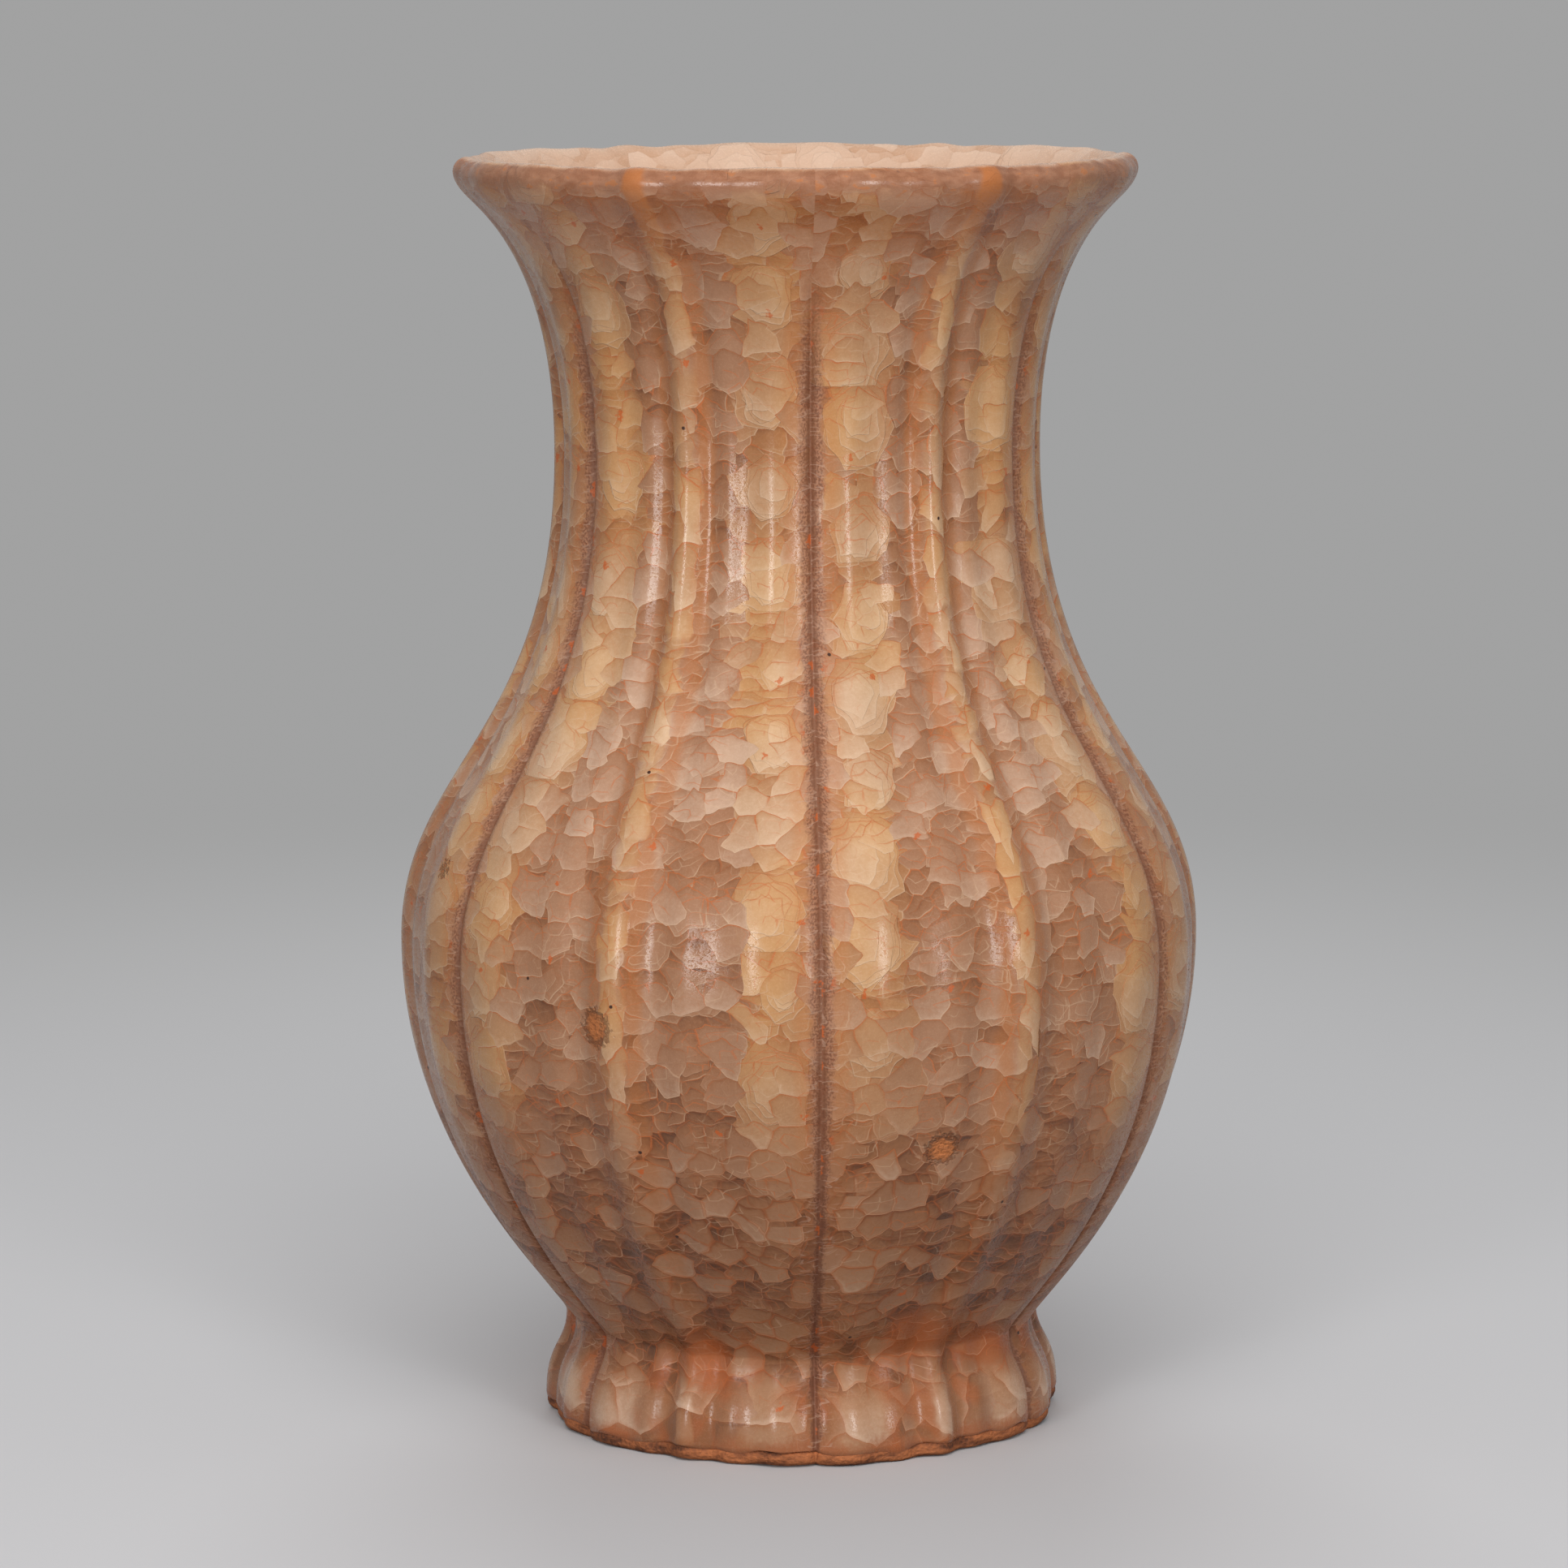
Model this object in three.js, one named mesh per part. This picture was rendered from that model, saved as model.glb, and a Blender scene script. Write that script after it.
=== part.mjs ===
// A lobed stoneware vase with a flared mouth and a spreading foot.
// The clay is five parts luted together on flat seams: foot ring, base slab, lower body, upper body and neck.
// A thick crackle glaze coats the outside, the inside and the foot well, and leaves the foot rim bare.
// Millimetres, +Z up. The foot stands on z = 0, the axis is Z, and a sharp groove faces -Y.
import * as THREE from "three";

// The glazed outside stands upright at four places, and flares above the neck to the mouth.
const foot = { radius: 62, height: 4.2 };
const waist = { radius: 56.9, height: 24 };
const belly = { radius: 95.4, height: 115 };
const neck = { radius: 57.7, height: 232 };
const neckToRim = 68;
const mouthRadius = 80.6;
const height = neck.height + neckToRim;

// How long the wall stays near upright at those places, as a share of the climb to the next place.
const uprightAbove = { foot: 0.6, waist: 0.048, belly: 0.357, neck: 0.7 };
const uprightBelow = { waist: 0.39, belly: 0.6, neck: 0.59 };

// The flare ends in a straight run at this angle from upright, then rolls over the lip.
const flareAngle = 45;
const flareRun = 6.7;
const lipRoll = 3.5;
const lipOverhang = 3.4;
const lipDepth = 9.6;
const lipInnerDrop = 15;

// Walls.
const glaze = 1.2;
const clayWall = 3.8;
const slabThickness = 5.5;
const bareFoot = 3;
const footEdge = 1.8;
const footRimWidth = 6;

// Lobes: one sector runs from one sharp groove to the next.
const sectors = 6;
const fluteDepth = { foot: 3, waist: 2.8, belly: 3.4, neck: 3, lip: 1.4 };
const footEdgeShare = 0.7;
const lipWave = 0.7;
const grooveDepth = 1.7;
const grooveHalfAngle = 1.8;
const grooveTop = { full: 262, gone: 286 };
const insideShare = 0.5;

// Half a sector: a broad rib beside the sharp groove, a flute with a low swell in it, and a narrow rib
// that both halves share.
// Each place has its distance from the sharp groove and its share of the flute depth.
// Distances across a sector count from 0 at one sharp groove to 60 at the next.
const sectorScale = 60;
const section = [
  { at: 0, share: 0.25 },
  { at: 8, share: 0 },
  { at: 15.5, share: 0.6 },
  { at: 19.5, share: 0.52 },
  { at: 24, share: 1 },
  { at: 30, share: 0.1 },
];
const halfSector = [0, grooveHalfAngle, 8, 15.5, 19.5, 24, 30];

// Rows of corners between the named places. Crowding above 1 draws rows down, and below 1 draws them up.
const rows = { lower: 5, upper: 7, flare: 5, insideLower: 4, insideUpper: 5, insideNeck: 2 };
const crowding = { lower: 1.3, flare: 0.8 };
const lipRollAngles = [-35, 0, 45, 90];
const lipInnerShares = [1 / 3, 2 / 3];

const { clamp, degToRad: radians, euclideanModulo, lerp, smoothstep } = THREE.MathUtils;

// The angles of all the columns of a fluted surface, in degrees.
function columnAngles() {
  const angles = [];
  const otherHalf = halfSector.slice(1, -1).reverse().map((at) => sectorScale - at);
  for (let sector = 0; sector < sectors; sector++) {
    for (const at of [...halfSector, ...otherHalf]) angles.push((sector + at / sectorScale) * (360 / sectors));
  }
  return angles;
}
const columns = columnAngles();

function fromGroove(angle) {
  const within = euclideanModulo((angle * sectors * sectorScale) / 360, sectorScale);
  return Math.min(within, sectorScale - within);
}

function fluteShare(angle) {
  const at = fromGroove(angle);
  const after = Math.max(1, section.findIndex((s) => s.at >= at));
  const [a, b] = [section[after - 1], section[after]];
  const t = (at - a.at) / (b.at - a.at);
  return lerp(a.share, b.share, (1 - Math.cos(Math.PI * t)) / 2);
}

function grooveShare(angle) {
  return clamp(1 - fromGroove(angle) / grooveHalfAngle, 0, 1);
}

// The outside outline: four curves that stand upright at foot, waist, belly and neck.
const point = (r, z) => new THREE.Vector2(r, z);
function climb(from, above, to, below) {
  const gain = to.height - from.height;
  return new THREE.CubicBezierCurve(
    point(from.radius, from.height),
    point(from.radius, from.height + above * gain),
    point(to.radius, to.height - below * gain),
    point(to.radius, to.height),
  );
}
const flareEnd = { radius: mouthRadius - lipOverhang, height: height - lipDepth };
const flare = new THREE.CubicBezierCurve(
  point(neck.radius, neck.height),
  point(neck.radius, neck.height + uprightAbove.neck * (flareEnd.height - neck.height)),
  point(
    flareEnd.radius - flareRun * Math.sin(radians(flareAngle)),
    flareEnd.height - flareRun * Math.cos(radians(flareAngle)),
  ),
  point(flareEnd.radius, flareEnd.height),
);
const outline = [
  climb(foot, uprightAbove.foot, waist, uprightBelow.waist),
  climb(waist, uprightAbove.waist, belly, uprightBelow.belly),
  climb(belly, uprightAbove.belly, neck, uprightBelow.neck),
  flare,
];

// The place on the outline at a height, found by halving: its radius and how much that grows per millimetre.
function outlineAt(z) {
  if (z <= foot.height) return { radius: foot.radius, slope: 0 };
  const curve = outline.find((c) => z <= c.v3.y) ?? flare;
  const halvings = 40;
  let low = 0;
  for (let step = 1; step <= halvings; step++) {
    const middle = low + 0.5 ** step;
    if (curve.getPoint(middle).y < z) low = middle;
  }
  const tangent = curve.getTangent(low);
  return { radius: curve.getPoint(low).x, slope: tangent.x / tangent.y };
}

// A wall measured level is thicker than one measured square to a sloping outline.
function under(offset, z) {
  const { radius, slope } = outlineAt(z);
  return radius - offset * Math.hypot(1, slope);
}

// Flute depth at a height, eased between the depths named above.
function fluteAt(z) {
  const stations = [
    { height: foot.height, depth: fluteDepth.foot },
    { height: waist.height, depth: fluteDepth.waist },
    { height: belly.height, depth: fluteDepth.belly },
    { height: neck.height, depth: fluteDepth.neck },
    { height: flareEnd.height, depth: fluteDepth.lip },
  ];
  const after = clamp(stations.findIndex((s) => s.height > z), 1, stations.length - 1);
  const [a, b] = z >= flareEnd.height ? stations.slice(-2) : [stations[after - 1], stations[after]];
  return lerp(a.depth, b.depth, smoothstep(z, a.height, b.height));
}

const grooveAt = (z) => grooveDepth * (1 - smoothstep(z, grooveTop.full, grooveTop.gone));

// One place on a profile: offset is how deep it lies under the glazed outside.
function outside(offset, z) {
  return { r: under(offset, z), z, flute: fluteAt(z), groove: grooveAt(z) };
}

// The same for the inside: offset is how deep it lies under the glaze of the inside.
const wall = glaze + clayWall + glaze;
function inside(offset, z) {
  return { r: under(wall - offset, z), z, flute: fluteAt(z) * insideShare, groove: 0 };
}

// Heights from one place up to another, without the first.
function heights(low, high, steps, crowd = 1) {
  return Array.from({ length: steps }, (_, i) => lerp(low, high, ((i + 1) / steps) ** crowd));
}

// The lip, from the end of the flare over the crown to the inside wall.
function lip(offset) {
  const centre = point(mouthRadius - lipRoll, height - lipRoll);
  const roll = lipRollAngles.map((angle) => ({
    r: centre.x + (lipRoll - offset) * Math.cos(radians(angle)),
    z: centre.y + (lipRoll - offset) * Math.sin(radians(angle)),
    flute: fluteDepth.lip,
    groove: 0,
    dip: lipWave,
  }));
  const end = inside(offset, height - lipInnerDrop);
  const slope = radians(flareAngle);
  const inner = new THREE.CubicBezierCurve(
    point(centre.x, height - offset),
    point(centre.x - lipRoll, height - offset),
    point(end.r + lipRoll * Math.sin(slope), end.z + lipRoll * Math.cos(slope)),
    point(end.r, end.z),
  );
  const innerSide = lipInnerShares.map((t) => {
    const { x, y } = inner.getPoint(t);
    return { r: x, z: y, flute: lerp(fluteDepth.lip, end.flute, t), groove: 0, dip: lipWave * (1 - t) };
  });
  return [...roll, ...innerSide, end];
}

// A closed solid from a profile that closes on itself or runs from axis to axis.
// Each face is split from its lower corner to the upper corner of the next column, so faces that touch match.
function fluted(profile) {
  const count = profile.length;
  const geometry = new THREE.BufferGeometry();
  const corners = columns.flatMap((angle) =>
    profile.flatMap((p) => {
      const r = p.r - p.flute * fluteShare(angle) - p.groove * grooveShare(angle);
      const z = p.z - (p.dip ?? 0) * fluteShare(angle);
      return [r * Math.sin(radians(angle)), -r * Math.cos(radians(angle)), z];
    }),
  );
  const faces = [];
  const addFace = (a, b, c) => {
    const onAxis = [a, b, c].filter((corner) => profile[corner % count].r === 0);
    if (onAxis.length < 2) faces.push(a, b, c);
  };
  columns.forEach((_, column) => {
    const here = column * count;
    const next = ((column + 1) % columns.length) * count;
    for (let row = 0; row < count - 1; row++) {
      const above = row + 1;
      if (profile[row].z <= profile[above].z) {
        addFace(here + row, next + row, next + above);
        addFace(here + row, next + above, here + above);
      } else {
        addFace(here + row, next + row, here + above);
        addFace(next + row, next + above, here + above);
      }
    }
  });
  geometry.setAttribute("position", new THREE.Float32BufferAttribute(corners, 3));
  geometry.setIndex(faces);
  geometry.computeVertexNormals();
  return geometry;
}

const round = (r, z) => ({ r, z, flute: 0, groove: 0 });
const closed = (profile) => [...profile, profile[0]];

const slabTop = waist.height;
const slabBottom = slabTop - slabThickness;
const footHeights = [bareFoot, (bareFoot + slabBottom) / 2, slabBottom, slabTop];
const lowerHeights = heights(waist.height, belly.height, rows.lower, crowding.lower);
const upperHeights = heights(belly.height, neck.height, rows.upper);
const flareHeights = heights(neck.height, flareEnd.height, rows.flare, crowding.flare);
const insideLower = [slabTop, ...heights(slabTop, belly.height, rows.insideLower)];
const insideUpper = [belly.height, ...heights(belly.height, neck.height, rows.insideUpper)];
const insideNeck = [neck.height, ...heights(neck.height, height - lipInnerDrop, rows.insideNeck)];

// The foot ring's clay has a rounded bare edge outside and a plain round well inside.
const footClay = under(glaze, bareFoot);
const wellMouth = footClay - footEdge - footRimWidth;
const wellTop = under(glaze + clayWall, slabBottom) - fluteAt(slabBottom) - grooveDepth;
const wellRadius = (z) => lerp(wellMouth, wellTop, z / slabBottom);

function footRing() {
  const edgeBend = footEdge * (1 - Math.SQRT1_2);
  const edge = (inset, z, share) => {
    return { r: footClay - inset, z, flute: fluteDepth.foot * share, groove: grooveDepth * share };
  };
  return closed([
    round(wellRadius(0), 0),
    edge(footEdge, 0, footEdgeShare),
    edge(edgeBend, edgeBend, lerp(footEdgeShare, 1, 0.5)),
    ...footHeights.slice(0, 3).map((z) => outside(glaze, z)),
    round(wellRadius(slabBottom), slabBottom),
    round(wellRadius(bareFoot), bareFoot),
  ]);
}

function baseSlab() {
  return [round(0, slabBottom), outside(glaze, slabBottom), outside(glaze, slabTop), round(0, slabTop)];
}

function bodyRing(outsideHeights, insideHeights) {
  return closed([
    ...outsideHeights.map((z) => outside(glaze, z)),
    ...insideHeights.map((z) => inside(glaze, z)).reverse(),
  ]);
}

function neckRing() {
  return closed([
    outside(glaze, neck.height),
    ...flareHeights.map((z) => outside(glaze, z)),
    ...lip(glaze),
    ...insideNeck.slice(0, -1).map((z) => inside(glaze, z)).reverse(),
  ]);
}

function exteriorGlaze() {
  const run = [...footHeights, ...lowerHeights, ...upperHeights, ...flareHeights];
  const skin = (offset) => [...run.map((z) => outside(offset, z)), ...lip(offset)];
  return closed([...skin(0), ...skin(glaze).reverse()]);
}

function interiorGlaze() {
  const run = [...insideLower, ...insideUpper.slice(1), ...insideNeck.slice(1)];
  const onClay = run.map((z) => inside(glaze, z));
  const floor = slabTop + glaze;
  const onAir = [floor, ...run.slice(1)].map((z) => inside(0, z));
  return [round(0, slabTop), ...onClay, ...onAir.reverse(), round(0, floor)];
}

function footWellGlaze() {
  const skin = (offset) => [
    round(wellRadius(bareFoot) - offset, bareFoot),
    round(wellRadius(slabBottom) - offset, slabBottom - offset),
    round(0, slabBottom - offset),
  ];
  return [...skin(glaze).reverse(), ...skin(0)];
}

// Finishes.
const clay = new THREE.MeshStandardMaterial({ color: 0xa8623a, roughness: 0.85, metalness: 0 });
const crackle = new THREE.MeshStandardMaterial({ color: 0xbf9068, roughness: 0.3, metalness: 0 });
const lining = new THREE.MeshStandardMaterial({ color: 0xd9b592, roughness: 0.35, metalness: 0 });

function part(name, profile, material) {
  const mesh = new THREE.Mesh(fluted(profile), material);
  mesh.name = name;
  return mesh;
}

const vase = new THREE.Group();
vase.add(
  part("foot_ring", footRing(), clay),
  part("base_slab", baseSlab(), clay),
  part("lower_body", bodyRing([waist.height, ...lowerHeights], insideLower), clay),
  part("upper_body", bodyRing([belly.height, ...upperHeights], insideUpper), clay),
  part("neck_and_mouth", neckRing(), clay),
  part("exterior_glaze", exteriorGlaze(), crackle),
  part("interior_glaze", interiorGlaze(), lining),
  part("foot_well_glaze", footWellGlaze(), lining),
);

export default vase;
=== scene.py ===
# A lobed stoneware vase under a thick layered crackle glaze, on a plain pale floor.
# Sizes below are millimetres and degrees. They become metres and radians where an object is made.
import math

import bmesh
import bpy
from mathutils import Matrix, Vector, noise
from mathutils.geometry import interpolate_bezier


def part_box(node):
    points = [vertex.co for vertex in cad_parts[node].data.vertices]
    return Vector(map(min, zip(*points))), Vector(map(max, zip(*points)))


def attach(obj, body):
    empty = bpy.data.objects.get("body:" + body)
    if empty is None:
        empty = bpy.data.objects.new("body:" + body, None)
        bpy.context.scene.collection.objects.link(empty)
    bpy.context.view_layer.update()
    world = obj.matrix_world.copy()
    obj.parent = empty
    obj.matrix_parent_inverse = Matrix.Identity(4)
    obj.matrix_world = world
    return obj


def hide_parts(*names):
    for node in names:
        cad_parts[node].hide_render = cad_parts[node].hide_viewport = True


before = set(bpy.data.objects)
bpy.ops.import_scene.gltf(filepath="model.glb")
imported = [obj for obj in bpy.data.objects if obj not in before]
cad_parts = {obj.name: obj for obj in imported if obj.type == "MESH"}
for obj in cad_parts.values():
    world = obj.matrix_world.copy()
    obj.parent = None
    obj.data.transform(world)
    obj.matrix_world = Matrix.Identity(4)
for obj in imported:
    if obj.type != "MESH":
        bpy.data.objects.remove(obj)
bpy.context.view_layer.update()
MM = 0.001

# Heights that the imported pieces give.
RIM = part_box("exterior_glaze")[1].z / MM
GLAZE_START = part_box("exterior_glaze")[0].z / MM
LINING_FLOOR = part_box("interior_glaze")[0].z / MM
LINING_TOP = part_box("interior_glaze")[1].z / MM
SLAB_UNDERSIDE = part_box("base_slab")[0].z / MM
WELL_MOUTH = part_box("foot_well_glaze")[1].x / MM

# The outline of the glazed outside, radius and height, at the places where it stands upright.
FOOT = (62.0, 4.2)
WAIST = (56.9, 24.0)
BELLY = (95.4, 115.0)
NECK = (57.7, 232.0)
UPRIGHT_ABOVE = {FOOT: 0.6, WAIST: 0.048, BELLY: 0.357, NECK: 0.7}
UPRIGHT_BELOW = {WAIST: 0.39, BELLY: 0.6, NECK: 0.59}
MOUTH_RADIUS = 80.6
FLARE_ANGLE = 45
FLARE_RUN = 6.7
LIP_ROLL = 3.5
LIP_OVERHANG = 3.4
LIP_DEPTH = 9.6
FLARE_END = (MOUTH_RADIUS - LIP_OVERHANG, RIM - LIP_DEPTH)
GLAZE = 1.2
CLAY_WALL = 3.8
WALL = GLAZE + CLAY_WALL + GLAZE

# Lobes: a broad rib beside each sharp groove, a flute, and a narrow rib that both halves of a sector share.
SECTORS = 6
SECTOR = 360 / SECTORS
HALF_SECTOR_RADIANS = math.radians(SECTOR / 2)
SECTION = [(0, 0.25), (8, 0.0), (15.5, 0.6), (19.5, 0.52), (24, 1.0), (30, 0.1)]
FLUTE_DEPTH = [(FOOT[1], 3.0), (WAIST[1], 2.8), (BELLY[1], 3.4), (NECK[1], 3.0), (FLARE_END[1], 1.4)]
GROOVE_DEPTH = 1.7
GROOVE_WIDTH = 1.1
GROOVE_TOP = (262, 286)
INSIDE_SHARE = 0.5
FOOT_EDGE_SHARE = 0.7
LIP_WAVE = 0.7

# How far the curve under the lip keeps the flare's way and then the upright, and how round the lip is.
UNDER_LIP = (2.4, 2.2)
ROUNDNESS = 0.55

# How far hand work leaves the surface off true, and how fine the meshes are.
UNEVEN = 0.2
UNEVEN_SPACING = 38
DIP_UNEVEN = 0.35
SWAY = 0.06
SWAY_SPACING = 30
SWAY_STRETCH = 0.4
EDGE_WANDER = 1.7
EDGE_WANDER_SPACING = 8
ROW_SPACING = 2.1
LIP_SPACING = 0.8
FLOOR_SPACING = 4
FLOOR_ROWS = 10
HIDDEN_ROW_STEP = 8
COLUMNS = 396
INSIDE_COLUMNS = 264
CROWDING = 0.62

# The wall map keeps each sector's stretch of the wall this far from the next one's, so no two look alike.
SECTOR_SHIFT = 1000


def smoothstep(low, high, value):
    t = min(1.0, max(0.0, (value - low) / (high - low)))
    return t * t * (3 - 2 * t)


def eased(stations, at):
    """The value at a place between stations, eased from each to the next."""
    if at <= stations[0][0]:
        return stations[0][1]
    for (low, before), (high, after) in zip(stations, stations[1:]):
        if at <= high:
            return before + (after - before) * smoothstep(low, high, at)
    return stations[-1][1]


def groove_at(z):
    return GROOVE_DEPTH * (1 - smoothstep(*GROOVE_TOP, z))


def curve(start, out, back, end, spacing=ROW_SPACING):
    """Points of one smooth curve, without its first."""
    handles = [Vector((x, 0, z)) for x, z in (start, out, back, end)]
    length = sum((b - a).length for a, b in zip(handles, handles[1:]))
    points = interpolate_bezier(*handles, max(3, round(length / spacing) + 1))
    return [(p.x, p.z) for p in points[1:]]


def climb(start, end):
    gain = end[1] - start[1]
    out = (start[0], start[1] + UPRIGHT_ABOVE[start] * gain)
    back = (end[0], end[1] - UPRIGHT_BELOW[end] * gain)
    return curve(start, out, back, end)


def along_angle(place, angle, distance):
    """The place a distance away, at an angle from upright."""
    turn = math.radians(angle)
    return place[0] + distance * math.sin(turn), place[1] + distance * math.cos(turn)


def outline():
    """The glazed outside from the foot up to the end of the flare."""
    points = [FOOT] + climb(FOOT, WAIST) + climb(WAIST, BELLY) + climb(BELLY, NECK)
    out = (NECK[0], NECK[1] + UPRIGHT_ABOVE[NECK] * (FLARE_END[1] - NECK[1]))
    return points + curve(NECK, out, along_angle(FLARE_END, FLARE_ANGLE, -FLARE_RUN), FLARE_END)


def inset(points, distance):
    """The same run of points moved square to the run, towards the axis."""
    moved = []
    for i, (r, z) in enumerate(points):
        before, after = points[max(0, i - 1)], points[min(len(points) - 1, i + 1)]
        run = Vector((after[0] - before[0], after[1] - before[1])).normalized()
        moved.append((r - run.y * distance, z + run.x * distance))
    return moved


def lining_wall(offset):
    """The inside of the wall from the floor up to where the outer coat ends."""
    points = inset(outline(), offset)
    top = points[-1]
    points = [p for p in points if LINING_FLOOR < p[1] < LINING_TOP - 1]
    return points + [(top[0] - (top[1] - LINING_TOP) * math.tan(math.radians(FLARE_ANGLE)), LINING_TOP)]


def lip_outline():
    """Over the rolled lip and down inside to where the lining starts."""
    middle = (MOUTH_RADIUS - LIP_ROLL, RIM - LIP_ROLL)
    side = (MOUTH_RADIUS, middle[1])
    crown = (middle[0], RIM)
    bend = LIP_ROLL * ROUNDNESS
    end = lining_wall(WALL)[-1]
    out = along_angle(FLARE_END, FLARE_ANGLE, UNDER_LIP[0])
    under_side = curve(FLARE_END, out, (side[0], side[1] - UNDER_LIP[1]), side, LIP_SPACING)
    over = curve(side, (side[0], side[1] + bend), (crown[0] + bend, RIM), crown, LIP_SPACING)
    above_end = along_angle(end, FLARE_ANGLE, LIP_ROLL)
    down = curve(crown, (crown[0] - LIP_ROLL, RIM), above_end, end, LIP_SPACING)
    return under_side + over + down


class Surface:
    """A turned shape: corners of a closed profile, spun round the axis and then fluted."""

    def __init__(self):
        self.mesh = bmesh.new()
        layer = self.mesh.verts.layers.float.new
        self.along, self.radius, self.slope = layer("wall_along"), layer("wall_radius"), layer("wall_slope")
        self.flute, self.groove, self.dip = layer("flute"), layer("groove"), layer("dip")
        self.wander = layer("wander")
        self.corners = []

    def add(self, place, along=0.0, flute=0.0, groove=0.0, dip=0.0, wander=0.0, joined=True):
        """One more corner of the profile, joined to the one before."""
        vert = self.mesh.verts.new((0, -place[0], place[1]))
        vert[self.along], vert[self.radius] = along, place[0]
        vert[self.flute], vert[self.groove], vert[self.dip], vert[self.wander] = flute, groove, dip, wander
        if self.corners and joined:
            before = self.corners[-1]
            self.mesh.edges.new((before, vert))
            length = (vert.co - before.co).length
            vert[self.slope] = (place[0] - before[self.radius]) / max(length, 0.01)
        self.corners.append(vert)

    def spin(self, columns):
        """Closes the profile, unless it starts on the axis, and turns it once round."""
        first, last = self.corners[0], self.corners[-1]
        if abs(first.co.y) > 0.01:
            self.mesh.edges.new((last, first))
        geometry = self.mesh.verts[:] + self.mesh.edges[:]
        bmesh.ops.spin(
            self.mesh,
            geom=geometry,
            cent=(0, 0, 0),
            axis=(0, 0, 1),
            steps=columns,
            angle=math.tau,
            use_merge=True,
        )
        bmesh.ops.remove_doubles(self.mesh, verts=self.mesh.verts[:], dist=1e-4)
        bmesh.ops.recalc_face_normals(self.mesh, faces=self.mesh.faces[:])


def angle_of(place):
    """Degrees round the axis from the groove that faces the front."""
    return math.degrees(math.atan2(place.x, -place.y)) % 360


def press_flutes(surface):
    """Presses flutes and grooves into a spun shape and leaves it slightly uneven, as hand work does."""
    for vert in surface.mesh.verts:
        radius = math.hypot(vert.co.x, vert.co.y)
        if radius < 0.01:
            continue
        angle = angle_of(vert.co)
        angle -= math.degrees(CROWDING / SECTORS * math.sin(math.radians(angle * SECTORS)))
        within = angle % SECTOR
        off = min(within, SECTOR - within)
        share = eased(SECTION, off)
        turn = math.radians(angle)
        way = Vector((math.sin(turn), -math.cos(turn), 0))
        place = way * radius + Vector((0, 0, vert.co.z))
        waver = 0.5 - 0.5 * noise.noise(place / UNEVEN_SPACING)
        sway = 1 + SWAY * noise.noise(Vector((place.x, place.y, place.z * SWAY_STRETCH)) / SWAY_SPACING)
        gap = math.radians(off) * radius
        depth = vert[surface.flute] * share * sway
        depth += vert[surface.groove] * math.exp(-gap / GROOVE_WIDTH)
        if vert[surface.flute]:
            depth += UNEVEN * waver
        vert.co.x, vert.co.y = (way * (radius - depth)).xy
        vert.co.z -= vert[surface.dip] * (share + DIP_UNEVEN * waver)
        if vert[surface.wander]:
            vert.co.z += vert[surface.wander] * noise.noise(way * radius / EDGE_WANDER_SPACING)


def map_surface(surface):
    """A flat map in millimetres: across from the sector's narrow rib, and along the wall."""
    layer = surface.mesh.loops.layers.uv.new("wall")
    for face in surface.mesh.faces:
        sector = angle_of(face.calc_center_median()) // SECTOR
        for loop in face.loops:
            across = (angle_of(loop.vert.co) - sector * SECTOR - SECTOR / 2 + 180) % 360 - 180
            vert = loop.vert
            loop[layer].uv = (
                math.radians(across) * vert[surface.radius],
                vert[surface.along] + sector * SECTOR_SHIFT,
            )


def finish_surface(surface, name, material):
    """Turns the worked mesh into a smooth-shaded piece, in metres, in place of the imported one."""
    map_surface(surface)
    bmesh.ops.scale(surface.mesh, vec=(MM, MM, MM), verts=surface.mesh.verts[:])
    data = bpy.data.meshes.new(name)
    surface.mesh.to_mesh(data)
    surface.mesh.free()
    data.materials.append(material)
    data.shade_smooth()
    piece = bpy.data.objects.new(name + "_fine", data)
    bpy.context.scene.collection.objects.link(piece)
    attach(piece, "root")
    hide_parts(name)
    return piece


def lengths(points, start=0.0):
    """How far along the wall each point lies."""
    total = start
    found = [start]
    for before, after in zip(points, points[1:]):
        total += math.dist(before, after)
        found.append(total)
    return found


def make_exterior_glaze(material):
    """The outer coat: from its thick wandering lower edge up over the lip and a little way down inside."""
    surface = Surface()
    wall = outline()
    lip = lip_outline()
    foot_flute = FLUTE_DEPTH[0][1]
    surface.add((FOOT[0] - GLAZE, GLAZE_START), flute=foot_flute, groove=GROOVE_DEPTH, wander=EDGE_WANDER)
    edge = [
        (FOOT[0] - GLAZE / 2, GLAZE_START - 0.2),
        (FOOT[0] - 0.15, GLAZE_START + 0.3),
        (FOOT[0], GLAZE_START + 1),
    ]
    run = edge + wall
    for place, along in zip(run, lengths(run)):
        wander = EDGE_WANDER * (1 - smoothstep(GLAZE_START, FOOT[1], place[1]))
        surface.add(place, along, eased(FLUTE_DEPTH, place[1]), groove_at(place[1]), 0, wander)
    start = lengths(run)[-1]
    for i, (place, along) in enumerate(zip(lip, lengths([wall[-1]] + lip, start)[1:])):
        fade = 1 - smoothstep(0.55, 1, i / (len(lip) - 1))
        flute = eased(FLUTE_DEPTH, RIM) * (INSIDE_SHARE + (1 - INSIDE_SHARE) * fade)
        surface.add(place, along, flute, 0, LIP_WAVE * fade * smoothstep(0, 0.3, i / (len(lip) - 1)))
    hidden = inset(wall + lip, GLAZE)[::-1]
    for place in hidden[3:-2:HIDDEN_ROW_STEP]:
        surface.add(place, 0, eased(FLUTE_DEPTH, place[1]), groove_at(place[1]))
    surface.spin(COLUMNS)
    press_flutes(surface)
    return finish_surface(surface, "exterior_glaze", material)


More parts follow.
